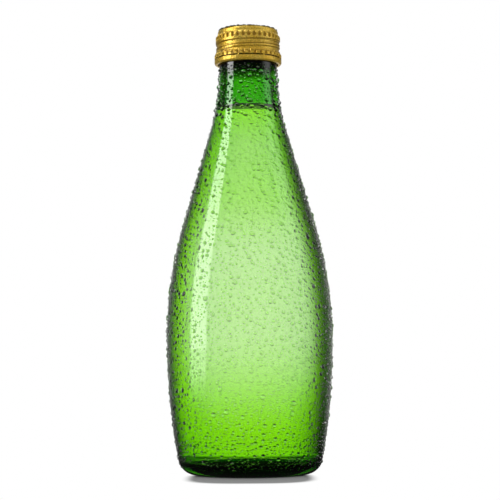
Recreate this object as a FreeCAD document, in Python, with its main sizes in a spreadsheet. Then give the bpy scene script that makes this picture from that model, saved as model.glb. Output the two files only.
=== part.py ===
# Small green glass soda bottle, full to the neck, closed by a rolled-on aluminium screw cap.
# Lengths in mm. +Z up, origin on the ground at the bottle's axis, the front is towards -Y.
import FreeCAD
import Part
import Sketcher
import math
import os

driving = {
    # glass, outside
    "BellyRadius": 34.9,        # widest radius of the body
    "BellyHeight": 57.5,        # height of the widest place
    "ShoulderArc": 167.0,       # long arc that draws the body in above the belly
    "FlareArc": 94.0,           # arc that turns the cone up into the neck
    "HeelRadius": 7.0,
    "FootInset": 11.6,          # from the widest radius in to the edge of the ring it stands on
    "FootWidth": 1.5,
    "PuntHeight": 3.2,          # rise of the hollow under the base
    # glass, neck and the finish under the cap
    "RimHeight": 188.0,
    "FinishDepth": 16.0,        # from the rim down to the end of the flare
    "NeckRadius": 12.35,
    "LipStep": 0.15,            # the lip is slimmer than the neck
    "LipRound": 0.8,
    "LockStep": 1.15,           # ring round the neck that holds the tamper band
    "LockDepth": 12.0,          # from the rim down to its middle
    "LockWidth": 1.4,
    "LockSlope": 0.8,
    # glass, inside
    "BodyWall": 2.7,
    "NeckWall": 3.15,
    "BaseWall": 4.7,            # glass under the lowest place of the floor
    "FloorHeight": 7.5,         # top of the floor's dome
    "CornerRadius": 7.0,
    "CornerInset": 2.8,         # from that edge in to the centre of the inner corner
    # drink
    "FillDepth": 32.4,          # from the rim down to the liquid
    "MeniscusArc": 2.4,
    "MeniscusWidth": 2.3,
    # how the cap fits the neck
    "ShellWall": 0.25,
    "LinerWall": 0.85,
    "CollarGap": 0.5,           # lip to the inside of the collar
    "BandGap": 0.63,            # lock ring to the inside of the tamper band
    "CurlGap": 0.7,             # neck to the rolled edge
    "CurlDrop": 1.1,            # lock ring's straight side down to the rolled edge's underside
    # cap, down from its top
    "CapRound": 1.15,           # rounded edge of the top
    "CollarEnd": 2.0,           # smooth collar over the upper knurl
    "BulgeStep": 0.91,          # plain bulge under the upper knurl, beyond the collar
    "BulgeTop": 3.15,
    "BulgeEnd": 5.75,
    "ThreadStep": 0.77,         # panel that is rolled into the thread, beyond the collar
    "ThreadTop": 5.95,
    "UpperFlute": 0.7,          # radius of one flute
    "UpperFluteEnd": 4.25,      # its rounded lower end
    # cap, up from its rolled edge
    "CurlArc": 0.88,
    "SlitHeight": 2.4,          # middle of the slit
    "SlitWidth": 0.36,
    "BandHeight": 3.9,          # skirt and tamper band
    "ThreadFoot": 5.3,
    "LowerFlute": 0.5,
    "LowerFluteEnd": 2.8,
    # round the cap
    "KnurlCount": 36,
    "FluteClear": 0.08,         # flutes stay this far outside the wall above them
    "BridgeCount": 8,
    "BridgeWidth": 0.7,
    "BridgeTurn": 28.1,         # angle of one bridge from +X
}

doc = FreeCAD.newDocument("SodaBottle")
sheet = doc.addObject("Spreadsheet::Sheet", "Sizes")
for row, (alias, value) in enumerate(driving.items(), start=1):
    sheet.set(f"A{row}", alias)
    sheet.set(f"B{row}", str(value))
    sheet.setAlias(f"B{row}", alias)
doc.recompute()


class Size:
    """A length with its formula in terms of the sheet, so that each formula is written once."""

    def __init__(self, value, formula):
        self.value = value
        self.formula = formula

    def combine(self, other, sign, value):
        text = other.formula if isinstance(other, Size) else str(other)
        return Size(value, f"({self.formula} {sign} {text})")

    def __add__(self, other):
        return self.combine(other, "+", self.value + plain(other))

    def __sub__(self, other):
        return self.combine(other, "-", self.value - plain(other))

    def __mul__(self, other):
        return self.combine(other, "*", self.value * plain(other))

    def __truediv__(self, other):
        return self.combine(other, "/", self.value / plain(other))

    def root(self):
        return Size(math.sqrt(self.value), f"sqrt({self.formula})")


def plain(number):
    return number.value if isinstance(number, Size) else number


def size(alias):
    return Size(driving[alias], f"Sizes.{alias}")


def spot(x, z):
    return FreeCAD.Vector(plain(x), plain(z), 0)


def originPart(body, role):
    return [part for part in body.Origin.OriginFeatures if part.Role == role][0]


class Profile:
    """A closed outline in a body's upright plane, x from the sketch's axis and z up.

    A Size pins a coordinate to the sheet, and 0 puts it on the axis. Any other plain number is
    only where the solver starts: the joints that are tangent then hold that point.
    """

    def __init__(self, body, name, x, z):
        self.sketch = body.newObject("Sketcher::SketchObject", name)
        self.sketch.AttachmentSupport = [(originPart(body, "XZ_Plane"), "")]
        self.sketch.MapMode = "FlatFace"
        self.start = (x, z)
        self.here = (x, z)
        self.first = None
        self.last = None

    def shift(self, away):
        """Moves the sketch's axis out from the bottle's."""
        self.sketch.AttachmentOffset = FreeCAD.Placement(spot(away, 0), FreeCAD.Rotation())
        self.sketch.setExpression("AttachmentOffset.Base.x", away.formula)

    def turn(self, angle):
        """Swings the sketch's plane round the bottle's axis."""
        swing = FreeCAD.Rotation(FreeCAD.Vector(0, 1, 0), angle.value)
        self.sketch.AttachmentOffset = FreeCAD.Placement(FreeCAD.Vector(), swing)
        self.sketch.setExpression("AttachmentOffset.Rotation.Angle", angle.formula)

    def drive(self, kind, *refs, length):
        """Adds a dimension and ties it to the sheet."""
        index = self.sketch.addConstraint(Sketcher.Constraint(kind, *refs, length.value))
        self.sketch.setExpression(f"Constraints[{index}]", length.formula)

    def pin(self, edge, vertex, x, z):
        for kind, axis, length in (("DistanceX", -2, x), ("DistanceY", -1, z)):
            if isinstance(length, Size):
                self.drive(kind, -1, 1, edge, vertex, length=length)
            elif length == 0:
                self.sketch.addConstraint(Sketcher.Constraint("PointOnObject", edge, vertex, axis))

    def join(self, edge, begins, ends, x, z, smooth):
        """Ties a new edge to the one before it and pins its far end."""
        if self.last is None:
            self.first = (edge, begins)
            self.pin(edge, begins, *self.start)
        else:
            kind = "Tangent" if smooth else "Coincident"
            self.sketch.addConstraint(Sketcher.Constraint(kind, *self.last, edge, begins))
        self.last = (edge, ends)
        self.here = (x, z)
        self.pin(edge, ends, x, z)

    def line(self, x, z, smooth=False):
        edge = self.sketch.addGeometry(Part.LineSegment(spot(*self.here), spot(x, z)))
        self.join(edge, 1, 2, x, z, smooth)

    def arc(self, x, z, centreX, centreZ, radius=None, smooth=False, turnsLeft=True):
        centre = spot(centreX, centreZ)
        begin, end = spot(*self.here) - centre, spot(x, z) - centre
        angles = [math.atan2(begin.y, begin.x), math.atan2(end.y, end.x)]
        begins, ends = 1, 2
        if not turnsLeft:
            angles.reverse()
            begins, ends = 2, 1
        circle = Part.Circle(centre, FreeCAD.Vector(0, 0, 1), begin.Length)
        edge = self.sketch.addGeometry(Part.ArcOfCircle(circle, *angles))
        self.join(edge, begins, ends, x, z, smooth)
        self.pin(edge, 3, centreX, centreZ)
        if radius:
            self.drive("Radius", edge, length=radius)

    def close(self):
        """Back to the start by a straight line."""
        edge = self.sketch.addGeometry(Part.LineSegment(spot(*self.here), spot(*self.start)))
        self.sketch.addConstraint(Sketcher.Constraint("Coincident", *self.last, edge, 1))
        self.sketch.addConstraint(Sketcher.Constraint("Coincident", *self.first, edge, 2))
        return self.sketch


def tangentInside(radius, height, centreX, centreZ, small):
    """Start values for the long arc that ends upright at (radius, height) and is touched from
    inside by a small arc: the long arc's centre, and the place where the two meet."""
    across, down = radius - centreX, height - centreZ
    large = (across ** 2 + down ** 2 - small ** 2) / (2 * (across - small))
    lean = math.hypot(large - across, down)
    meet = (centreX + small * (large - across) / lean, centreZ - small * down / lean)
    return radius - large, meet


def shoulder(profile, radius, arc, neck, flare):
    """From the belly up to the neck: a long arc, a straight cone and a flare, all tangent."""
    belly, top = size("BellyHeight"), size("RimHeight") - size("FinishDepth")
    across = neck.value + flare.value - radius.value + arc.value
    up = top.value - belly.value
    angle = math.atan2(up, across) - math.acos((arc.value + flare.value) / math.hypot(across, up))
    low = (radius.value - arc.value * (1 - math.cos(angle)), belly.value + arc.value * math.sin(angle))
    high = (neck.value + flare.value * (1 - math.cos(angle)), top.value - flare.value * math.sin(angle))
    profile.arc(*low, radius.value - arc.value, belly, arc)
    profile.line(*high, smooth=True)
    profile.arc(neck, top, neck.value + flare.value, top, flare, smooth=True, turnsLeft=False)


def revolve(body, sketch, kind):
    turn = body.newObject("PartDesign::" + kind, sketch.Name + "Turned")
    turn.Profile = sketch
    turn.ReferenceAxis = (sketch, ["V_Axis"])
    turn.Angle = 360
    body.Tip = turn
    return turn


def footRadius():
    return size("BellyRadius") - size("FootInset")


def cavity(body, kind):
    """The inside of the glass, up through the mouth: the glass loses it and the drink fills it."""
    bore, radius = size("NeckRadius") - size("NeckWall"), size("BellyRadius") - size("BodyWall")
    corner, reach = size("CornerRadius"), footRadius() - size("CornerInset")
    floor, low = size("FloorHeight"), size("BaseWall")
    centreZ = low + corner
    # dome of the floor: centred on the axis, meets the corner arc from outside
    rise = centreZ.value - floor.value
    dome = (reach.value ** 2 + rise ** 2 - corner.value ** 2) / (2 * (floor.value - low.value))
    share = corner.value / (dome + corner.value)
    domeEnd = (reach.value * (1 - share), centreZ.value - (rise + dome) * share)
    wallCentre, wallStart = tangentInside(radius.value, size("BellyHeight").value,
                                          reach.value, centreZ.value, corner.value)
    inside = Profile(body, "Inside", 0, floor)
    inside.arc(*domeEnd, 0, floor.value - dome, turnsLeft=False)
    inside.arc(*wallStart, reach, centreZ, corner, smooth=True)
    inside.arc(radius, size("BellyHeight"), wallCentre, size("BellyHeight"), smooth=True)
    shoulder(inside, radius, size("ShoulderArc") - size("BodyWall"), bore,
             size("FlareArc") + size("NeckWall"))
    inside.line(bore, size("RimHeight") + size("LipRound"))
    inside.line(0, size("RimHeight") + size("LipRound"))
    return revolve(body, inside.close(), kind)


def newBody(label):
    body = doc.addObject("PartDesign::Body", label)
    body.Label = label
    return body


def makeBottle():
    body = newBody("bottle")
    foot, heel, neck = footRadius(), size("HeelRadius"), size("NeckRadius")
    belly, radius = size("BellyHeight"), size("BellyRadius")
    rim, lip, lipRound = size("RimHeight"), neck - size("LipStep"), size("LipRound")
    wallCentre, wallStart = tangentInside(radius.value, belly.value, foot.value, heel.value, heel.value)
    outside = Profile(body, "Outside", 0, 0)
    outside.line(foot, 0)
    outside.arc(*wallStart, foot, heel)
    outside.arc(radius, belly, wallCentre, belly, smooth=True)
    shoulder(outside, radius, size("ShoulderArc"), neck, size("FlareArc"))
    half, slope = size("LockWidth") / 2, size("LockSlope")
    lock, ring = rim - size("LockDepth"), neck + size("LockStep")
    outside.line(neck, lock - half - slope)
    outside.line(ring, lock - half)
    outside.line(ring, lock + half)
    outside.line(lip, lock + half + slope)
    outside.line(lip, rim - lipRound)
    outside.arc(lip - lipRound, rim, lip - lipRound, plain(rim - lipRound))
    outside.line(0, rim)
    revolve(body, outside.close(), "Revolution")

    edge, punt = foot - size("FootWidth"), size("PuntHeight")
    drop = (edge.value ** 2 - punt.value ** 2) / (2 * punt.value)
    under = Profile(body, "Punt", 0, punt)
    under.arc(edge, 0, 0, -drop, turnsLeft=False)
    under.line(edge, punt * -1)
    under.line(0, punt * -1)
    revolve(body, under.close(), "Groove")
    cavity(body, "Groove")
    return body


def makeDrink():
    """The cavity's shape, cut off by the liquid's surface, which climbs the glass at its edge."""
    body = newBody("soda")
    cavity(body, "Revolution")
    fill, curve = size("RimHeight") - size("FillDepth"), size("MeniscusArc")
    flare = size("FlareArc") + size("NeckWall")
    drop = size("FillDepth") - size("FinishDepth")
    wall = size("NeckRadius") - size("NeckWall") + flare - (flare * flare - drop * drop).root()
    bend = wall - size("MeniscusWidth")
    top = size("RimHeight") + size("LipRound") * 2
    surface = Profile(body, "Surface", 0, fill)
    surface.line(bend, fill)
    surface.arc(bend + curve, fill + curve, bend, plain(fill + curve))
    surface.line(bend + curve, top)
    surface.line(0, top)
    revolve(body, surface.close(), "Groove")
    return body


def capTop():
    return size("RimHeight") + size("LinerWall") + size("ShellWall")


def capFoot():
    return size("RimHeight") - size("LockDepth") - size("LockWidth") / 2 - size("CurlDrop")


def collarRadius():
    return size("NeckRadius") - size("LipStep") + size("CollarGap") + size("ShellWall")


def bandRadius():
    return size("NeckRadius") + size("LockStep") + size("BandGap") + size("ShellWall")


def capForm(body, name, wall):
    """The cap as a plug with its knurls: wall 0 is the outer form, the shell's wall the core."""
    top, foot = capTop(), capFoot()
    collar, band = collarRadius(), bandRadius()
    bulge, thread = collar + size("BulgeStep"), collar + size("ThreadStep")
    rounded, rolled = collar - size("CapRound"), band - size("CurlArc")
    form = Profile(body, name, 0, top - wall)
    form.line(rounded, top - wall)
    form.arc(collar - wall, top - size("CapRound"), rounded, plain(top - size("CapRound")), turnsLeft=False)
    form.line(collar - wall, top - size("CollarEnd"))
    form.line(bulge - wall, top - size("BulgeTop"))
    form.line(bulge - wall, top - size("BulgeEnd"))
    form.line(thread - wall, top - size("ThreadTop"))
    form.line(thread - wall, foot + size("ThreadFoot"))
    form.line(band - wall, foot + size("BandHeight"))
    form.line(band - wall, foot + size("CurlArc"))
    form.arc(rolled, foot + wall, rolled, plain(foot + size("CurlArc")), turnsLeft=False)
    if wall.value:
        # the core runs out through the open bottom, which leaves the rolled edge round it
        mouth = size("NeckRadius") + size("CurlGap")
        form.line(mouth, foot + wall)
        form.line(mouth, foot - wall)
    form.line(0, foot - wall)
    revolve(body, form.close(), "Revolution")
    clear = size("FluteClear")
    flutes(body, name + "Upper", collar + clear, size("UpperFlute"), wall,
           top - size("UpperFluteEnd"), top - size("CollarEnd"))
    flutes(body, name + "Lower", thread + clear, size("LowerFlute"), wall,
           foot + size("LowerFluteEnd"), foot + size("ThreadFoot"))


def flutes(body, name, reach, flute, wall, end, top):
    """A ring of upright flutes with round lower ends, which run out into the wall above."""
    wide = flute + wall
    cut = Profile(body, name + "Flute", 0, end - wall)
    cut.shift(reach + flute)
    cut.arc(wide, end + flute, 0, plain(end + flute))
    cut.line(wide, top + flute)
    cut.line(0, top + flute)
    groove = revolve(body, cut.close(), "Groove")
    pattern(body, groove, "KnurlCount")


def pattern(body, feature, alias):
    """Repeats a feature all round the bottle's axis."""
    ring = body.newObject("PartDesign::PolarPattern", feature.Name + "Ring")
    ring.Originals = [feature]
    ring.Axis = (originPart(body, "Z_Axis"), [""])
    ring.Angle = 360
    ring.setExpression("Occurrences", size(alias).formula)
    body.Tip = ring


def makeCap():
    """Outer form less core is the shell; the slit then leaves the tamper band on its bridges."""
    core = newBody("cap_core")
    capForm(core, "Core", size("ShellWall"))
    body = newBody("screw_cap")
    capForm(body, "Form", Size(0, "0"))
    hollow = body.newObject("PartDesign::Boolean", "Hollow")
    hollow.Type = "Cut"
    hollow.addObject(core)
    body.Tip = hollow

    middle, half = capFoot() + size("SlitHeight"), size("SlitWidth") / 2
    band, wall = bandRadius(), size("ShellWall")
    slit = Profile(body, "Slit", band - wall * 2, middle - half)
    slit.line(band + wall, middle - half)
    slit.line(band + wall, middle + half)
    slit.line(band - wall * 2, middle + half)
    slit.turn(size("BridgeTurn") + Size(180, "180") / size("BridgeCount"))
    groove = revolve(body, slit.close(), "Groove")
    groove.Midplane = True
    bridge = size("BridgeWidth") / band * Size(180 / math.pi, "(180 / pi)")
    groove.setExpression("Angle", (Size(360, "360") / size("BridgeCount") - bridge).formula)
    pattern(body, groove, "BridgeCount")
    return body


def makeLiner():
    """Disc under the cap's top that seals on the rim."""
    body = newBody("cap_liner")
    rim, wide = size("RimHeight"), collarRadius() - size("CapRound")
    disc = Profile(body, "Disc", 0, rim)
    disc.line(wide, rim)
    disc.line(wide, rim + size("LinerWall"))
    disc.line(0, rim + size("LinerWall"))
    revolve(body, disc.close(), "Revolution")
    return body


nodes = [makeBottle(), makeDrink(), makeCap(), makeLiner()]
doc.recompute()
for item in doc.Objects:
    if "Invalid" in item.State or "Error" in item.State:
        raise RuntimeError(f"{item.Label} failed: {item.State}")
os.makedirs("parts", exist_ok=True)
for body in nodes:
    shape = body.Shape
    if shape.isNull() or not shape.isValid() or len(shape.Solids) != 1:
        raise RuntimeError(f"{body.Label} is not one sound solid")
    box = shape.BoundBox
    print(f"{body.Label}: {shape.Volume / 1000:.2f} ml, {len(shape.Faces)} faces, "
          f"z {box.ZMin:.2f} to {box.ZMax:.2f}, widest {box.XLength:.2f}")
    shape.exportStep(f"parts/{body.Label}.step")
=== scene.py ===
import math
import random

import bpy
import numpy
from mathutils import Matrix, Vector


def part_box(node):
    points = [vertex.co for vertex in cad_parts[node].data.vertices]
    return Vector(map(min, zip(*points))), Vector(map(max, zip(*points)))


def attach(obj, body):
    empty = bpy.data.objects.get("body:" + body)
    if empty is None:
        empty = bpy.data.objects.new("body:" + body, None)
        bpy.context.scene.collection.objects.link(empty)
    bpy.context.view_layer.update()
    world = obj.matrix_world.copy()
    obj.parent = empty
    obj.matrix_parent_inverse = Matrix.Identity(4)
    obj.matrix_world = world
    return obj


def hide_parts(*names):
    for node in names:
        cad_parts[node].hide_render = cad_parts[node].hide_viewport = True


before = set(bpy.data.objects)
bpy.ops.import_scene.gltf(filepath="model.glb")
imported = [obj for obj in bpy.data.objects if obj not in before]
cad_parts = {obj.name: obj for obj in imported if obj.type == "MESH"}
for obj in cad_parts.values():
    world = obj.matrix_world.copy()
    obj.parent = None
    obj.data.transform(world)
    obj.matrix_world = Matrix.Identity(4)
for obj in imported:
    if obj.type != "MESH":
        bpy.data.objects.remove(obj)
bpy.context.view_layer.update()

mm = 0.001
scene = bpy.context.scene
scene.view_settings.view_transform = "Standard"
print("frame loaded")


# camera

cameraSetup = {
    "distance": 658 * mm,       # from the bottle's axis
    "height": 46 * mm,
    "tilt": 4.229,              # degrees upwards
    "roll": 0.36,
    "lens": 111.5,
    "sensor": 36,
    "shift": 0.0016,
}


def makeCamera():
    view = cameraSetup
    data = bpy.data.cameras.new("camera")
    data.lens, data.sensor_width, data.shift_x = view["lens"], view["sensor"], view["shift"]
    data.clip_start, data.clip_end = 0.01, 50
    camera = bpy.data.objects.new("camera", data)
    scene.collection.objects.link(camera)
    camera.location = (0, -view["distance"], view["height"])
    camera.rotation_euler = (math.radians(90 + view["tilt"]), 0, 0)
    camera.rotation_euler.rotate_axis("Z", math.radians(-view["roll"]))
    scene.camera = camera


makeCamera()


# material helpers

class Wire:
    # one output socket; sums written on it add Math nodes
    def __init__(self, finish, socket):
        self.finish = finish
        self.socket = socket

    def math(self, operation, *values):
        return self.finish.node("ShaderNodeMath", {"operation": operation}, dict(enumerate(values)))

    def __add__(self, other):
        return self.math("ADD", self, other)

    def __sub__(self, other):
        return self.math("SUBTRACT", self, other)

    def __rsub__(self, other):
        return self.math("SUBTRACT", other, self)

    def __mul__(self, other):
        return self.math("MULTIPLY", self, other)

    def __truediv__(self, other):
        return self.math("DIVIDE", self, other)

    def __pow__(self, other):
        return self.math("POWER", self, other)

    def __abs__(self):
        return self.math("ABSOLUTE", self)

    def most(self, other):
        return self.math("MAXIMUM", self, other)

    def least(self, other):
        return self.math("MINIMUM", self, other)

    def ramp(self, low, high, start=0.0, end=1.0):
        # start below low, end above high
        return self.finish.node("ShaderNodeMapRange", {"interpolation_type": "SMOOTHSTEP"},
                                {0: self, 1: low, 2: high, 3: start, 4: end})


class Finish:
    # the node tree of one material or of the world
    def __init__(self, owner):
        owner.use_nodes = True
        self.tree = owner.node_tree
        self.tree.nodes.clear()

    def node(self, kind, settings=None, values=None, output=0):
        made = self.tree.nodes.new(kind)
        for name, value in (settings or {}).items():
            setattr(made, name, value)
        for name, value in (values or {}).items():
            if isinstance(value, Wire):
                self.tree.links.new(value.socket, made.inputs[name])
            else:
                made.inputs[name].default_value = value
        return Wire(self, made.outputs[output])

    def mix(self, factor, first, second):
        # two colours, each a wire or three numbers
        first, second = [c if isinstance(c, Wire) else (*c, 1) for c in (first, second)]
        return self.node("ShaderNodeMix", {"data_type": "RGBA"}, {0: factor, 6: first, 7: second}, 2)

    def place(self):
        return self.node("ShaderNodeTexCoord", output="Object")

    def axes(self, vector):
        parts = self.tree.nodes.new("ShaderNodeSeparateXYZ")
        self.tree.links.new(vector.socket, parts.inputs[0])
        return [Wire(self, socket) for socket in parts.outputs]

    def noise(self, scale, detail=2.0, rough=0.5):
        return self.node("ShaderNodeTexNoise", {}, {"Vector": self.place(), "Scale": scale,
                                                    "Detail": detail, "Roughness": rough})

    def bump(self, height, strength, distance, normal=None):
        values = {"Height": height, "Strength": strength, "Distance": distance}
        if normal:
            values["Normal"] = normal
        return self.node("ShaderNodeBump", {}, values)

    def surface(self, values):
        return self.node("ShaderNodeBsdfPrincipled", {}, values)

    def output(self, surface, volume=None):
        values = {"Surface": surface}
        if volume:
            values["Volume"] = volume
        end = self.tree.nodes.new("ShaderNodeOutputMaterial")
        for name, wire in values.items():
            self.tree.links.new(wire.socket, end.inputs[name])


def newFinish(name):
    material = bpy.data.materials.new(name)
    return material, Finish(material)


# modelling helpers

def clearSelection():
    if bpy.context.object and bpy.context.object.mode != "OBJECT":
        bpy.ops.object.mode_set(mode="OBJECT")
    bpy.ops.object.select_all(action="DESELECT")


def editPiece(piece):
    clearSelection()
    piece.select_set(True)
    bpy.context.view_layer.objects.active = piece
    bpy.ops.object.mode_set(mode="EDIT")
    bpy.ops.mesh.select_mode(type="VERT")


def pointPlaces(piece):
    places = numpy.empty(len(piece.data.vertices) * 3)
    piece.data.vertices.foreach_get("co", places)
    return places.reshape(-1, 3)


def movePoints(piece, places):
    piece.data.vertices.foreach_set("co", places.ravel())
    piece.data.update()


def setMark(piece, name, values):
    # one number for each point, which a finish reads by its name
    mark = piece.data.attributes.new(name, "FLOAT", "POINT")
    mark.data.foreach_set("value", numpy.asarray(values, dtype=numpy.float32))


def selectPoints(piece, chosen):
    # in edit mode: selects the points for which chosen(place) holds
    bpy.ops.mesh.select_all(action="DESELECT")
    bpy.ops.object.mode_set(mode="OBJECT")
    flags = chosen(pointPlaces(piece))
    piece.data.vertices.foreach_set("select", flags)
    bpy.ops.object.mode_set(mode="EDIT")


def arcPoints(centre, radius, start, end, steps):
    # from one angle to the other, in degrees from the outward radius, both ends included
    angles = [math.radians(start + (end - start) * i / steps) for i in range(steps + 1)]
    return [(centre[0] + radius * math.cos(a), centre[1] + radius * math.sin(a)) for a in angles]


def linePoints(first, last, steps):
    return [(first[0] + (last[0] - first[0]) * i / steps, first[1] + (last[1] - first[1]) * i / steps)
            for i in range(1, steps + 1)]


def spinOutline(name, outline, turns):
    # draws the outline by extruding one corner after another, then spins it round the axis
    clearSelection()
    bpy.ops.mesh.primitive_plane_add(size=mm)
    piece = bpy.context.object
    piece.name = piece.data.name = name
    bpy.ops.object.mode_set(mode="EDIT")
    bpy.ops.mesh.select_mode(type="VERT")
    bpy.ops.mesh.select_all(action="SELECT")
    bpy.ops.mesh.merge(type="CENTER")
    bpy.ops.transform.translate(value=(outline[0][0] * mm, 0, outline[0][1] * mm))
    for (r0, z0), (r1, z1) in zip(outline, outline[1:]):
        step = ((r1 - r0) * mm, 0, (z1 - z0) * mm)
        bpy.ops.mesh.extrude_vertices_move(TRANSFORM_OT_translate={"value": step})
    bpy.ops.mesh.select_all(action="SELECT")
    bpy.ops.mesh.spin(steps=turns, angle=math.tau, center=(0, 0, 0), axis=(0, 0, 1))
    bpy.ops.mesh.select_all(action="SELECT")
    bpy.ops.mesh.remove_doubles(threshold=0.002 * mm)
    bpy.ops.mesh.normals_make_consistent(inside=False)
    bpy.ops.object.mode_set(mode="OBJECT")
    return piece


def finishPiece(piece, material, body="root", smooth=40):
    clearSelection()
    piece.select_set(True)
    bpy.context.view_layer.objects.active = piece
    bpy.ops.object.shade_smooth_by_angle(angle=math.radians(smooth))
    piece.data.materials.clear()
    piece.data.materials.append(material)
    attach(piece, body)
    print(piece.name, len(piece.data.polygons), "faces")


# glass bottle

glass = {
    "bellyRadius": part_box("bottle")[1].x / mm,
    "bellyHeight": 57.5,
    "shoulderArc": 167.0,
    "flareArc": 94.0,
    "heelRadius": 7.0,
    "footInset": 11.6,
    "footWidth": 1.5,
    "puntHeight": 3.2,
    "rimHeight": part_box("bottle")[1].z / mm,
    "finishDepth": 16.0,
    "neckRadius": 12.35,
    "lipStep": 0.15,
    "lipRound": 0.8,
    "lockStep": 1.15,
    "lockDepth": 12.0,
    "lockWidth": 1.4,
    "lockSlope": 0.8,
    "bodyWall": 2.7,
    "neckWall": 3.15,
    "baseWall": 4.7,
    "floorHeight": 7.5,
    "cornerRadius": 7.0,
    "cornerInset": 2.8,
    "teeth": 72,                # notches round the ring it stands on
    "toothDepth": 0.35,
    "skin": 0.9,                # points less deep than this belong to the outside
    "segments": 288,            # four to each tooth
    "ior": 1.52,
    "absorb": (0.27, 0.095, 0.80),      # for each mm of glass, red green blue
    "mistFoot": (18, 62),               # heights between which the mist thickens and thins out
    "mistHead": (88, 118),
    "mistShoulder": (134, 158),
    "mistCover": (0.32, 0.40),          # share of the surface that thin and thick mist hide
    "mistThin": 0.4,                    # share of it left above the head
    "mistWidest": 80,
    "mistNarrows": (25, 65),            # distances from there over which the misted face narrows
    "mistTurn": (0.50, 0.72),           # how squarely its edge faces along Y, widest and narrowest
    "mistFull": 0.92,                   # and from where on it is thickest
    "mistSide": 0.05,                   # share of it left on the sides
    "mouthRound": 0.5,
    # painted shade: the glass is tinted darker in the empty neck, for the dimmer light through it, and
    # darkest inside the cap, for the cap's shadow
    "neckShadeHeights": (153, 158),             # the empty neck is darker
    "neckPaintedShade": (0.36, 0.72, 0.30),
    "capShadowHeights": (168.5, 172),         # and darkest inside the cap
    "capPaintedShadow": (0.03, 0.06, 0.03),
}


def shoulderPoints(radius, arc, neck, flare):
    # belly to neck: long arc, straight cone and flare, each tangent to the next
    top = glass["rimHeight"] - glass["finishDepth"]
    across, up = neck + flare - radius + arc, top - glass["bellyHeight"]
    angle = math.degrees(math.atan2(up, across) - math.acos((arc + flare) / math.hypot(across, up)))
    low = arcPoints((radius - arc, glass["bellyHeight"]), arc, 0, angle, 26)
    high = arcPoints((neck + flare, top), flare, 180 + angle, 180, 22)
    return low + linePoints(low[-1], high[0], 16)[:-1] + high


def wallPoints(radius, centre, corner, start):
    # corner arc, then the long arc that ends upright at the belly and is touched by it from inside
    across, down = radius - centre[0], glass["bellyHeight"] - centre[1]
    large = (across ** 2 + down ** 2 - corner ** 2) / (2 * (across - corner))
    lean = math.degrees(math.atan2(down, large - across))
    turn = arcPoints(centre, corner, start, -lean, 14)
    wall = arcPoints((radius - large, glass["bellyHeight"]), large, -lean, 0, 26)
    return turn + wall[1:-1]


def outsidePoints():
    # from the axis under the base up to the lip
    foot = glass["bellyRadius"] - glass["footInset"]
    edge, punt = foot - glass["footWidth"], glass["puntHeight"]
    drop = (edge ** 2 - punt ** 2) / (2 * punt)
    sweep = math.degrees(math.atan2(drop, edge))
    under = arcPoints((0, -drop), drop + punt, 90, sweep, 12)
    rest = [(edge + glass["footWidth"] * share, 0) for share in (0.33, 0.67)]
    body = wallPoints(glass["bellyRadius"], (foot, glass["heelRadius"]), glass["heelRadius"], -90)
    top = shoulderPoints(glass["bellyRadius"], glass["shoulderArc"], glass["neckRadius"], glass["flareArc"])
    neck, rim = glass["neckRadius"], glass["rimHeight"]
    lip, ring = neck - glass["lipStep"], neck + glass["lockStep"]
    half, slope, lock = glass["lockWidth"] / 2, glass["lockSlope"], rim - glass["lockDepth"]
    lockRing = [(neck, lock - half - slope), (ring, lock - half), (ring, lock + half),
                (lip, lock + half + slope)]
    mouth = arcPoints((lip - glass["lipRound"], rim - glass["lipRound"]), glass["lipRound"], 0, 90, 6)
    return under + rest + body + top + lockRing + mouth


def insidePoints(reach=0.0):
    # the cavity from the axis up to its mouth, moved outwards by reach
    foot = glass["bellyRadius"] - glass["footInset"]
    radius = glass["bellyRadius"] - glass["bodyWall"]
    bore = glass["neckRadius"] - glass["neckWall"]
    corner = glass["cornerRadius"]
    centre = (foot - glass["cornerInset"], glass["baseWall"] + corner)
    floor = glass["floorHeight"]
    rise = centre[1] - floor
    dome = (centre[0] ** 2 + rise ** 2 - corner ** 2) / (2 * (floor - glass["baseWall"]))
    lean = math.degrees(math.atan2(rise + dome, centre[0]))
    ground = arcPoints((0, floor - dome), dome - reach, 90, lean, 12)
    wall = wallPoints(radius + reach, centre, corner + reach, lean - 180)
    top = shoulderPoints(radius + reach, glass["shoulderArc"] - glass["bodyWall"] + reach, bore + reach,
                         glass["flareArc"] + glass["neckWall"] - reach)
    return ground + wall[1:] + top


sideTop = glass["rimHeight"] - glass["finishDepth"]
sideFoot = glass["bellyRadius"] - glass["footInset"]
sidePoints = [(r, z) for r, z in outsidePoints() if 0 < z < sideTop]
sidePoints = sidePoints[[r > sideFoot for r, z in sidePoints].index(True):]
sideReach, sideRise = numpy.array(sidePoints).T
sideLean = numpy.arctan2(-numpy.gradient(sideReach), numpy.gradient(sideRise))


def wallAt(height):
    # radius of the outside and how far it leans from upright, at a height in mm
    return [float(numpy.interp(height, sideRise, values)) for values in (sideReach, sideLean)]


def mistAndHazeShare(f, x, y, height):
    # where cold mist lies, partly real mist and partly painted light: thickest on the belly and shoulder at
    # the front and back, where the haze of light is brightest, and thinning to the sides
    above = height.ramp(*glass["mistHead"], 1.0, glass["mistThin"])
    band = height.ramp(*glass["mistFoot"]) * (above * height.ramp(*glass["mistShoulder"], 1.0, 0.0))
    edge = abs(height - glass["mistWidest"]).ramp(*glass["mistNarrows"], *glass["mistTurn"])
    turn = abs(y / (x * x + y * y) ** 0.5)
    return band * turn.ramp(edge, glass["mistFull"], glass["mistSide"], 1.0)


mistLook = {"Base Color": (0.92, 0.95, 0.90, 1), "Roughness": 0.6}


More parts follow.
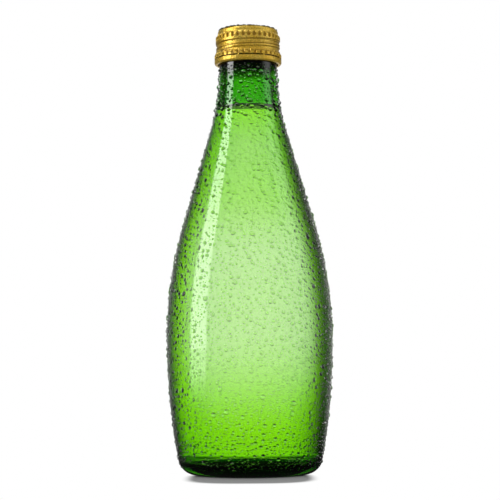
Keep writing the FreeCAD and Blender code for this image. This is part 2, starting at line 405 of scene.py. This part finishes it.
def makeGlassFinish():
    material, f = newFinish("greenGlass")
    x, y, z = f.axes(f.place())
    height = z / mm
    outside = f.node("ShaderNodeAttribute", {"attribute_name": "outside"}, output="Fac")
    mist = f.noise(scale=2400, rough=0.6)
    waves = f.bump(f.noise(scale=55, detail=1.0), strength=0.08, distance=0.0006)
    normal = f.bump(f.noise(scale=2600), strength=0.06, distance=0.00005, normal=waves)
    depth = f.node("ShaderNodeLightPath", output="Transmission Depth")
    # painted shade: the glass colour darkens in the empty neck and, as the cap's shadow, inside the cap
    neck = f.mix(height.ramp(*glass["neckShadeHeights"]), (1, 1, 1), glass["neckPaintedShade"])
    paintedGlassShade = f.mix(height.ramp(*glass["capShadowHeights"]), neck, glass["capPaintedShadow"])
    dry = outside * (1 - depth.least(1))        # under a drop the glass neither shines nor mists
    clear = f.surface({"Base Color": paintedGlassShade, "Roughness": outside * mist.ramp(0.35, 0.7, 0.02, 0.08),
                       "IOR": glass["ior"], "Transmission Weight": 1.0, "Normal": normal,
                       "Coat Weight": dry, "Coat Roughness": 0.03, "Coat IOR": 1.6})
    damp = f.surface({**mistLook, "IOR": glass["ior"], "Normal": normal})
    cover = dry * mistAndHazeShare(f, x, y, height) * mist.ramp(0.3, 0.7, *glass["mistCover"])
    mixed = f.node("ShaderNodeMixShader", {}, {0: cover, 1: clear, 2: damp})
    absorb = glass["absorb"]
    most = max(absorb)
    colour = tuple(1 - a / most for a in absorb)
    volume = f.node("ShaderNodeVolumeAbsorption", {}, {"Color": (*colour, 1), "Density": most / mm})
    f.output(mixed, volume)
    return material


def makeBottle():
    bore, rim = glass["neckRadius"] - glass["neckWall"], glass["rimHeight"]
    mouth = glass["mouthRound"]
    inner = insidePoints() + arcPoints((bore + mouth, rim - mouth), mouth, 180, 90, 4)
    piece = spinOutline("glass_bottle", inner + outsidePoints()[::-1], glass["segments"])
    editPiece(piece)
    pitch = math.tau / glass["segments"]
    inset = glass["bellyRadius"] - glass["footInset"]

    def inTooth(places):
        spot = numpy.rint(numpy.arctan2(places[:, 1], places[:, 0]) / pitch).astype(int) % 4
        away = numpy.hypot(places[:, 0], places[:, 1]) / mm
        ring = (away > inset - glass["footWidth"] * 0.8) & (away < inset + 1)
        return (places[:, 2] < 0.05 * mm) & ring & (spot < 2)

    selectPoints(piece, inTooth)
    bpy.ops.transform.translate(value=(0, 0, glass["toothDepth"] * mm))
    bpy.ops.object.mode_set(mode="OBJECT")
    places = pointPlaces(piece)
    middle = numpy.interp(places[:, 2] / mm, sideRise, sideReach) - glass["skin"]
    setMark(piece, "outside", numpy.hypot(places[:, 0], places[:, 1]) / mm > middle)
    finishPiece(piece, makeGlassFinish())
    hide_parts("bottle")


makeBottle()


# drink

drink = {
    "fillDepth": 33.2,          # from the rim down to the liquid, which climbs a little at the wall
    "meniscusArc": 0.9,
    "meniscusWidth": 0.8,
    "meniscusSlack": 0.15,
    "reach": 0.3,               # into the glass, so that no air shows between
    "shadeRise": (-0.4, -0.1),  # from the level, in mm: its surface looks dark from below
    "shadeShare": 0.75,
    "ior": 1.333,
}


def makeDrinkFinish():
    material, f = newFinish("clearDrink")
    height = f.axes(f.place())[2] / mm
    fizz = f.noise(scale=400)
    water = f.surface({"Base Color": (1, 1, 1, 1), "Roughness": fizz.ramp(0.3, 0.7, 0.0, 0.03),
                       "IOR": drink["ior"], "Transmission Weight": 1.0})
    # painted shade: a dark green layer on the drink's top, for how dark its surface looks from below
    shade = f.surface({"Base Color": (0.01, 0.06, 0.01, 1), "Roughness": 0.5})
    level = glass["rimHeight"] - drink["fillDepth"]
    top = height.ramp(*[level + rise for rise in drink["shadeRise"]], 0.0, drink["shadeShare"])
    f.output(f.node("ShaderNodeMixShader", {}, {0: top, 1: water, 2: shade}))
    return material


def makeDrink():
    level = glass["rimHeight"] - drink["fillDepth"]
    arc = drink["meniscusArc"]
    flare = glass["flareArc"] + glass["neckWall"]
    drop = drink["fillDepth"] - glass["finishDepth"]
    bore = glass["neckRadius"] - glass["neckWall"]
    bend = bore + flare - math.sqrt(flare ** 2 - drop ** 2) - drink["meniscusWidth"]
    climb = math.degrees(math.acos((arc - drink["meniscusWidth"] - drink["meniscusSlack"]) / arc))
    edge = arcPoints((bend, level + arc), arc, -90, -90 + climb, 8)[::-1]
    (across, up), step = edge[0], 0.2
    below = [point for point in insidePoints(drink["reach"]) if point[1] < up - step]
    piece = spinOutline("drink", below + [(across + step, up)] + edge + [(0, level)], 144)
    finishPiece(piece, makeDrinkFinish())
    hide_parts("soda")


makeDrink()


# screw cap

cap = {
    "top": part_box("screw_cap")[1].z / mm,
    "foot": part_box("screw_cap")[0].z / mm,
    "band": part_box("screw_cap")[1].x / mm,
    "collar": 12.95,            # radii of the smooth collar, the bulge and the rolled panel
    "bulge": 13.86,
    "panel": 13.72,
    "mouth": 13.05,
    "collarFoot": 2.0,          # distances down from the top
    "bulgeTop": 3.15,
    "bulgeFoot": 5.75,
    "panelTop": 5.95,
    "flutesFoot": 5.45,
    "panelFoot": 5.3,           # heights above the foot
    "bandTop": 3.9,
    "wall": 0.25,
    "round": 1.15,
    "curl": 0.88,
    "segments": 432,            # twelve to each flute
    "flutes": 36,
    "clear": 0.08,              # how far flutes stay outside the wall above them
    "upper": {"radius": 0.72, "end": 185.05, "turn": 1.7},
    "lower": {"radius": 0.50, "end": 177.25, "turn": 2.5},
    "threadPitch": 3.18,
    "threadStart": 150,         # degrees from the front, towards +X
    "threadEnd": -426,
    "grooves": [                # height at the front, half widths of floor and mouth, depth
        (182.7, 0.42, 0.90, 0.38),
        (181.25, 0.05, 0.45, 0.16),     # fine line between two turns of the thread
    ],
    "slitLow": 176.36,
    "slitHigh": 176.82,
    "bridgePitch": 45,
    "bridgeTurn": 28.1,
    "bridgeWidth": 0.7,
}


def capOutline():
    # outside of the cap from the middle of its top down to its rolled edge
    top, foot, turn, curl = cap["top"], cap["foot"], cap["round"], cap["curl"]
    crown = arcPoints((cap["collar"] - turn, top - turn), turn, 90, 0, 8)
    path = [(0, top), (cap["collar"] * 0.45, top), (cap["collar"] * 0.75, top)] + crown
    for reach, height, steps in (
            (cap["collar"], top - cap["collarFoot"], 2), (cap["bulge"], top - cap["bulgeTop"], 10),
            (cap["bulge"], top - cap["bulgeFoot"], 18), (cap["panel"], top - cap["panelTop"], 1),
            (cap["panel"], foot + cap["panelFoot"], 24), (cap["band"], foot + cap["bandTop"], 11),
            (cap["band"], cap["slitHigh"], 10), (cap["band"], cap["slitLow"], 1),
            (cap["band"], foot + curl, 3)):
        path += linePoints(path[-1], (reach, height), steps)
    path += arcPoints((cap["band"] - curl, foot + curl), curl, 0, -90, 7)[1:]
    return path + [(cap["mouth"], foot)]


def fluteReach(turn, rise, flute, wall):
    # radius of the hollow that a round tool with a round end leaves, large where it doesn't reach
    axis = wall + cap["clear"] + flute["radius"]
    pitch = 360 / cap["flutes"]
    off = numpy.radians((turn - flute["turn"] + pitch / 2) % pitch - pitch / 2)
    below = numpy.maximum(flute["end"] - rise, 0)
    left = flute["radius"] ** 2 - below ** 2 - (axis * numpy.sin(off)) ** 2
    return numpy.where(left > 0, axis * numpy.cos(off) - numpy.sqrt(numpy.maximum(left, 0)), 99)


def threadDepth(turn, rise):
    # how far the rolled grooves, which climb round the skirt, reach in, in mm
    depth = numpy.zeros_like(rise)
    for front, floor, mouth, deep in cap["grooves"]:
        for lap in (0, -360):
            along = turn + lap
            off = abs(rise - front - cap["threadPitch"] * along / 360)
            side = numpy.clip((mouth - off) / (mouth - floor), 0, 1)
            start = numpy.clip((cap["threadStart"] - along) / 25, 0, 1)
            end = numpy.clip((along - cap["threadEnd"]) / 40, 0, 1)
            depth = numpy.maximum(depth, side * side * (3 - 2 * side) * start * end * deep)
    return depth


def onBridge(turn):
    pitch = cap["bridgePitch"]
    off = abs((turn - cap["bridgeTurn"] + pitch / 2) % pitch - pitch / 2)
    return off <= math.degrees(cap["bridgeWidth"] / cap["band"]) / 2


def shapeSkirt(piece):
    # presses the flutes and the thread into the plain spun wall
    places = pointPlaces(piece)
    reach, rise = numpy.hypot(places[:, 0], places[:, 1]) / mm, places[:, 2] / mm
    turn = numpy.degrees(numpy.arctan2(places[:, 0], -places[:, 1]))
    side = (reach > cap["collar"] - 0.01) & (rise > cap["slitHigh"] - 0.01)
    high = rise > cap["top"] - cap["flutesFoot"]
    low = rise < cap["foot"] + cap["panelFoot"]
    pressed = reach
    for zone, row, wall in ((high, cap["upper"], cap["collar"]), (low, cap["lower"], cap["panel"])):
        tool = fluteReach(turn, rise, row, wall)
        pressed = numpy.where(side & zone, numpy.minimum(pressed, tool), pressed)
    flutes = numpy.clip((reach - pressed) / 0.6, 0, 1)
    groove = numpy.where(side & (flutes < 0.04), threadDepth(turn, rise), 0)
    pressed = pressed - groove
    scale = numpy.where(reach > 1, pressed / numpy.maximum(reach, 1), 1)
    movePoints(piece, places * numpy.stack([scale, scale, numpy.ones_like(scale)], axis=1))
    ledge = cap["top"] - (cap["bulgeFoot"] + cap["panelTop"]) / 2
    step = side * numpy.clip(1 - abs(rise - ledge) / 0.35, 0, 1)
    share = groove / cap["grooves"][0][3]
    slitMiddle = (cap["slitLow"] + cap["slitHigh"]) / 2
    slit = (reach > cap["mouth"] + 0.5) & (abs(rise - slitMiddle) < 0.25) & ~onBridge(turn)
    # the mark also feeds painted shade: the ledge under the bulge, the flanks of the grooves and the slit's
    # edges are marked as well as the flutes
    setMark(piece, "pressed", numpy.maximum.reduce([flutes, share * (1 - share) * 4, step, slit * 1.0]))


def cutSlits(piece):
    # opens the row of slits, and leaves the small bridges that hold the tamper band
    editPiece(piece)
    bpy.ops.mesh.select_mode(type="FACE")
    bpy.ops.mesh.select_all(action="DESELECT")
    bpy.ops.object.mode_set(mode="OBJECT")
    for face in piece.data.polygons:
        x, y, z = face.center / mm
        bridge = onBridge(math.degrees(math.atan2(x, -y)))
        face.select = cap["slitLow"] < z < cap["slitHigh"] and not bridge and math.hypot(x, y) > cap["mouth"]
    bpy.ops.object.mode_set(mode="EDIT")
    bpy.ops.mesh.delete(type="FACE")
    bpy.ops.object.mode_set(mode="OBJECT")


def makeGoldFinish():
    material, f = newFinish("goldLacquer")
    pressed = f.node("ShaderNodeAttribute", {"attribute_name": "pressed"}, output="Fac")
    fine = f.noise(scale=2200, detail=3.0, rough=0.6)
    broad = f.noise(scale=160)
    beads = f.bump(f.noise(scale=1100, detail=1.0), strength=0.7, distance=0.0003)
    colour = f.mix(broad.ramp(0.3, 0.7), (0.98, 0.68, 0.11), (0.90, 0.56, 0.05))
    # painted shade: flutes, grooves, the ledge and the slit's edges are darkened towards dark brown by the
    # pressed mark
    hollow = f.mix(pressed.ramp(0.1, 0.9, 0.0, 0.7), colour, (0.26, 0.12, 0.01))
    normal = f.bump(fine, strength=0.5, distance=0.00006, normal=beads)
    f.output(f.surface({"Base Color": hollow, "Metallic": 0.67, "Roughness": fine.ramp(0.3, 0.7, 0.22, 0.38),
                        "Coat Weight": 0.3, "Coat Roughness": 0.12, "Normal": normal}))
    return material


def makeCap():
    piece = spinOutline("gold_cap", capOutline(), cap["segments"])
    shapeSkirt(piece)
    cutSlits(piece)
    shell = piece.modifiers.new("shell", "SOLIDIFY")
    shell.thickness, shell.offset, shell.use_even_offset = cap["wall"] * mm, -1, False
    bpy.ops.object.modifier_apply(modifier="shell")
    finishPiece(piece, makeGoldFinish(), smooth=50)
    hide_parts("screw_cap")


makeCap()


# cap liner

def makeLinerFinish():
    material, f = newFinish("linerPlastic")
    cloud = f.noise(scale=500, detail=3.0)
    f.output(f.surface({"Base Color": f.mix(cloud, (0.70, 0.70, 0.66), (0.60, 0.60, 0.57)),
                        "Roughness": cloud.ramp(0.3, 0.7, 0.45, 0.6)}))
    return material


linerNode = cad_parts["cap_liner"]
linerNode.data.materials.clear()
linerNode.data.materials.append(makeLinerFinish())


# water drops

drops = {
    "seed": 7,
    "contact": 80,              # angle at which a drop's surface meets the glass
    "sink": 0.06,               # how far its flat side reaches into the glass
    "sag": 0.25,                # how far its top hangs below its middle
    "stretch": (0.8, 1.3),      # how long drops are, and how tall
    "stretchPower": 3,
    "tall": (0.8, 1.15),
    "tilt": 0.3,
    "mist": 0.2,
    "ior": 1.38,
    "farDepth": (2.4, 2.6),     # drops on the far side of the bottle are let through
    "cell": 3.0,                # mesh of the grid that keeps drops apart
    "apart": 1.1,
    "passes": [                 # piece, tries, sizes, heights, and how rare the larger ones are
        ("drops_large", 120, (0.85, 1.3), (167, 169.5), 1.5),       # under the cap
        ("drops_large", 110, (0.8, 1.3), (150.5, 155), 1.5),        # at the drink's surface
        ("drops_large", 520, (0.65, 1.2), (154, 167), 1.5),         # round the neck
        ("drops_large", 900, (0.4, 0.8), (150, 172), 1.5),
        ("drops_large", 260, (0.45, 0.8), (11.6, 14.4), 1.5),       # above the base
        ("drops_large", 170, (0.85, 1.25), (20, 166), 1.5),
        ("drops_medium", 7500, (0.50, 0.95), (5, 172), 1.4),
        ("drops_small", 3000, (0.32, 0.50), (120, 173), 1.2),
        ("drops_small", 14000, (0.32, 0.50), (3, 173), 1.2),
        ("drops_fine", 11000, (0.20, 0.32), (105, 173), 1.2),
        ("drops_fine", 20000, (0.20, 0.32), (3, 173), 1.2),
    ],
    "onCap": {"count": 420, "sizes": (0.25, 0.90), "power": 2.5, "spread": 0.9, "over": 0.3},
    "onEdge": {"count": 260, "sizes": (0.3, 0.65), "power": 1.5, "width": (-0.2, 0.55)},
    "meshes": {                 # corners and rings of one drop
        "drops_large": (16, 4),
        "drops_medium": (8, 2),
        "drops_small": (6, 1),
        "drops_fine": (6, 1),
        "drops_on_cap": (6, 1),
    },
}


def makeWaterFinish(name, colour):
    material, f = newFinish(name)
    film = f.noise(scale=700, detail=1.0)
    water = f.surface({"Base Color": (*colour, 1), "Roughness": film.ramp(0.3, 0.7, 0.0, 0.02),
                       "IOR": drops["ior"], "Transmission Weight": 1.0})
    x, y, z = f.axes(f.place())
    damp = f.surface({**mistLook, "IOR": drops["ior"]})
    share = mistAndHazeShare(f, x, y, z / mm) * drops["mist"]
    misted = f.node("ShaderNodeMixShader", {}, {0: share, 1: water, 2: damp})
    far = f.node("ShaderNodeLightPath", output="Transmission Depth").ramp(*drops["farDepth"])
    clear = f.node("ShaderNodeBsdfTransparent")
    f.output(f.node("ShaderNodeMixShader", {}, {0: far, 1: misted, 2: clear}))
    return material


waterFinish = makeWaterFinish("waterDrop", (1, 1, 1))
# painted shade: the drops on the cap are tinted dark for how dark they look there
capDropShadeFinish = makeWaterFinish("waterOnCapDarkened", (0.26, 0.29, 0.20))


def makeDome(name, corners, rings):
    # one drop of radius 1: a disc drawn up ring by ring to its top
    contact = math.radians(drops["contact"])
    clearSelection()
    bpy.ops.mesh.primitive_circle_add(vertices=corners, radius=1, fill_type="NGON")
    dome = bpy.context.object
    dome.name = name
    bpy.ops.object.mode_set(mode="EDIT")
    bpy.ops.mesh.select_all(action="SELECT")
    angles = [contact * (1 - i / (rings + 1)) for i in range(rings + 1)]
    for before, after in zip(angles, angles[1:] + [0]):
        rise = (math.cos(after) - math.cos(before)) / math.sin(contact)
        bpy.ops.mesh.extrude_region_move(TRANSFORM_OT_translate={"value": (0, 0, rise)})
        if after:
            share = math.sin(after) / math.sin(before)
            bpy.ops.transform.resize(value=(share, share, 1))
    bpy.ops.mesh.merge(type="CENTER")
    bpy.ops.mesh.select_all(action="SELECT")
    bpy.ops.mesh.normals_make_consistent(inside=False)
    bpy.ops.object.mode_set(mode="OBJECT")
    return dome


def cellOf(spot):
    return tuple(int(value // drops["cell"]) for value in spot)


def crowded(taken, spot, size):
    # whether a drop here would run into one that is already there
    column, row = cellOf(spot)
    near = [other for u in (-1, 0, 1) for v in (-1, 0, 1) for other in taken.get((column + u, row + v), ())]
    return any(math.dist(other[:2], spot) < (other[2] + size) * drops["apart"] for other in near)


def between(rng, limits, power=1):
    # a random number between two limits, less often near the second one at a higher power
    return limits[0] + (limits[1] - limits[0]) * rng.random() ** power


def scatter(rng, taken, tries, sizes, heights, power):
    # drops of a range of sizes on the glass, more of them where it is wider
    found = []
    for i in range(tries):
        size = between(rng, sizes, power)
        height = between(rng, heights)
        around = rng.random() * math.tau
        reach, lean = wallAt(height)
        spot = (around * reach, height)
        if rng.random() > reach / glass["bellyRadius"] or crowded(taken, spot, size):
            continue
        taken.setdefault(cellOf(spot), []).append((*spot, size))
        out = Vector((math.cos(around) * math.cos(lean), math.sin(around) * math.cos(lean), math.sin(lean)))
        found.append((Vector((math.cos(around) * reach, math.sin(around) * reach, height)), out, size))
    return found


def scatterOnCap(rng):
    # on top of the cap, thickest near its edge, and a row along the edge itself
    found = []
    top, rim = drops["onCap"], drops["onEdge"]
    edge = cap["collar"] - cap["round"]
    for i in range(top["count"] + rim["count"]):
        around, inward = rng.random() * math.tau, 1 - rng.random() ** 2
        size = between(rng, top["sizes"], top["power"])
        away = edge - inward * inward * edge * top["spread"] + top["over"]
        if i >= top["count"]:
            away = edge + between(rng, rim["width"])
            size = between(rng, rim["sizes"], rim["power"])
        place = Vector((math.cos(around) * away, math.sin(around) * away, cap["top"]))
        found.append((place, Vector((0, 0, 1)), size))
    return found


def joinDrops(name, dome, placed, rng, finish):
    # one mesh of many copies of the dome, each set square on the surface under it
    corners = numpy.empty(len(dome.data.vertices) * 3)
    dome.data.vertices.foreach_get("co", corners)
    across, along, rise = corners.reshape(-1, 3).T
    faces = [list(face.vertices) for face in dome.data.polygons]
    places, allFaces = [], []
    for number, (foot, out, size) in enumerate(placed):
        side = Vector((0, 0, 1)).cross(out)
        side = side.normalized() if side.length > 0.1 else Vector((1, 0, 0))
        up = out.cross(side)
        stretch = between(rng, drops["stretch"], drops["stretchPower"])
        turn = rng.gauss(0, drops["tilt"])
        tall = between(rng, drops["tall"])
        u, v, w = across / math.sqrt(stretch), along * math.sqrt(stretch), rise * tall
        v = v - drops["sag"] * w
        u, v = u * math.cos(turn) - v * math.sin(turn), u * math.sin(turn) + v * math.cos(turn)
        middle = foot - out * drops["sink"]
        shape = numpy.outer(u, side) + numpy.outer(v, up) + numpy.outer(w, out)
        places.append(numpy.array(middle) + size * shape)
        allFaces += [[number * len(across) + point for point in face] for face in faces]
    mesh = bpy.data.meshes.new(name)
    mesh.from_pydata((numpy.concatenate(places) * mm).tolist(), [], allFaces)
    piece = bpy.data.objects.new(name, mesh)
    scene.collection.objects.link(piece)
    finishPiece(piece, finish, smooth=80)


def makeDrops():
    rng = random.Random(drops["seed"])
    taken = {}
    found = {name: [] for name in drops["meshes"]}
    for name, tries, sizes, heights, power in drops["passes"]:
        found[name] += scatter(rng, taken, tries, sizes, heights, power)
    found["drops_on_cap"] = scatterOnCap(rng)
    for name, (corners, rings) in drops["meshes"].items():
        print(name, len(found[name]), "drops")
        dome = makeDome(name + "_dome", corners, rings)
        joinDrops(name, dome, found[name], rng, capDropShadeFinish if name == "drops_on_cap" else waterFinish)
        bpy.data.objects.remove(dome)


makeDrops()


# floor, light and background

studio = {
    "back": (-46, -12, 28, 57),         # where the wide light behind fades in and out, from +Y to +X
    "backTop": (0.22, 0.38),            # how high it reaches, as the sine of the elevation
    "backPower": 1.6,
    "sides": (12, 30),                  # degrees from +X and -X over which the side light fades out
    "sidesShare": 0.45,
    "front": (112, 130),
    "frontShare": 0.7,
    "dark": 0.01,
    "fill": 0.6,                        # what lights dull surfaces
    "strip": (-120, -116, -94, -87),    # tall light at the left front
    "stripPower": 3.6,
    "edge": (70, 95, 100, 128),         # weaker one at the right
    "edgePower": 0.7,
    "behind": (8, 58),                  # what grazing reflections pick up
    "behindPower": 0.2,
    "rim": (4, 20),
    "rimPower": 0.4,
    "floorSize": 6,
    "shadowMiddle": -0.024,             # the short soft shadow in front of the base
    "shadowReach": (0.0284, 0.0330),    # half width and half depth
    "shadowSoft": (0.80, 1.0),
    "floorLight": (0.035, 0.12),        # where the floor begins to light the glass
}


def span(around, limits):
    return around.ramp(limits[0], limits[1]) * around.ramp(limits[2], limits[3], 1.0, 0.0)


def rayFlags(f):
    path = f.tree.nodes.new("ShaderNodeLightPath")
    flags = {socket.name: Wire(f, socket) for socket in path.outputs}
    return [flags[name] for name in ("Is Camera Ray", "Is Glossy Ray", "Is Transmission Ray")]


def studioStrength(f, x, y, flags, tall, near, room, high):
    # how bright the studio is in a direction: seen plainly, in a reflection or through glass
    camera, glossy, through = flags
    around = f.node("ShaderNodeMath", {"operation": "ARCTAN2"}, {0: x, 1: y}) * (180 / math.pi)
    sides = abs(abs(around) - 90).ramp(*studio["sides"], 1.0, 0.0) * studio["sidesShare"]
    front = abs(around).ramp(*studio["front"]) * studio["frontShare"]
    window = span(around, studio["back"]).most(sides).most(front)
    strips = (span(around, studio["strip"]) * studio["stripPower"]
              + span(around, studio["edge"]) * studio["edgePower"])
    behind = (abs(around).ramp(*studio["behind"], studio["behindPower"], 0.0)
              + abs(around).ramp(*studio["rim"], studio["rimPower"], 0.0))
    seen = (through * near * (window * tall * studio["backPower"] + studio["dark"])
            + glossy * (1 - through) * (strips * high + behind + room))
    return camera + seen + (1 - camera) * (1 - glossy) * (1 - through) * studio["fill"]


def makeFloor():
    clearSelection()
    bpy.ops.mesh.primitive_plane_add(size=studio["floorSize"])
    floor = bpy.context.object
    floor.name = "floor"
    material, f = newFinish("paleFloor")
    x, y, z = f.axes(f.place())
    away = (x * x + y * y) ** 0.5
    flags = rayFlags(f)
    glossy, through = flags[1:]
    aside = abs(x) / studio["shadowReach"][0]
    ahead = abs(y - studio["shadowMiddle"]) / studio["shadowReach"][1]
    rounded = (aside ** 3 + ahead ** 3) ** (1 / 3)
    shadow = rounded.ramp(*studio["shadowSoft"], 1.0, 0.0)
    # painted shadow: the paper is grey in the patch in front of the base, where real shadows also fall
    paper = f.node("ShaderNodeBsdfDiffuse", {}, {"Color": f.mix(shadow, (0.9, 0.9, 0.9), (0.4, 0.4, 0.4))})
    strength = studioStrength(f, x, y, flags, 1.0, away.ramp(*studio["floorLight"]), 0.01,
                              away.ramp(0.15, 0.6, 0.0, 0.5))
    glow = f.node("ShaderNodeEmission", {}, {"Color": (1, 1, 1, 1), "Strength": strength})
    share = (1 - shadow).most(glossy).most(through)
    f.output(f.node("ShaderNodeMixShader", {}, {0: share, 1: paper, 2: glow}))
    floor.data.materials.append(material)


def makeLamp(name, place, aim, size, strength):
    data = bpy.data.lights.new(name, "AREA")
    data.shape, data.size, data.size_y = "RECTANGLE", *size
    data.energy = strength * size[0] * size[1] * math.pi * math.pi
    lamp = bpy.data.objects.new(name, data)
    scene.collection.objects.link(lamp)
    lamp.location = place
    lamp.rotation_euler = (Vector(aim) - Vector(place)).to_track_quat("-Z", "Y").to_euler()
    lamp.visible_glossy = False
    lamp.visible_transmission = False


def makeSky():
    world = bpy.data.worlds.new("studio")
    scene.world = world
    world.use_nodes = True
    f = Finish(world)
    x, y, z = f.axes(f.node("ShaderNodeTexCoord", output="Generated"))
    tall = z.ramp(*studio["backTop"], 1.0, 0.02)
    room = z.ramp(0.25, 0.6, 0.01, 0.16)
    strength = studioStrength(f, x, y, rayFlags(f), tall, 1.0, room, 1.0)
    glow = f.node("ShaderNodeBackground", {}, {"Color": (1, 1, 1, 1), "Strength": strength})
    end = f.tree.nodes.new("ShaderNodeOutputWorld")
    f.tree.links.new(glow.socket, end.inputs["Surface"])


makeFloor()
makeSky()
makeLamp("frontSoft", (0.05, -1.2, 0.5), (0, 0, 0.08), (0.5, 0.5), 3.0)
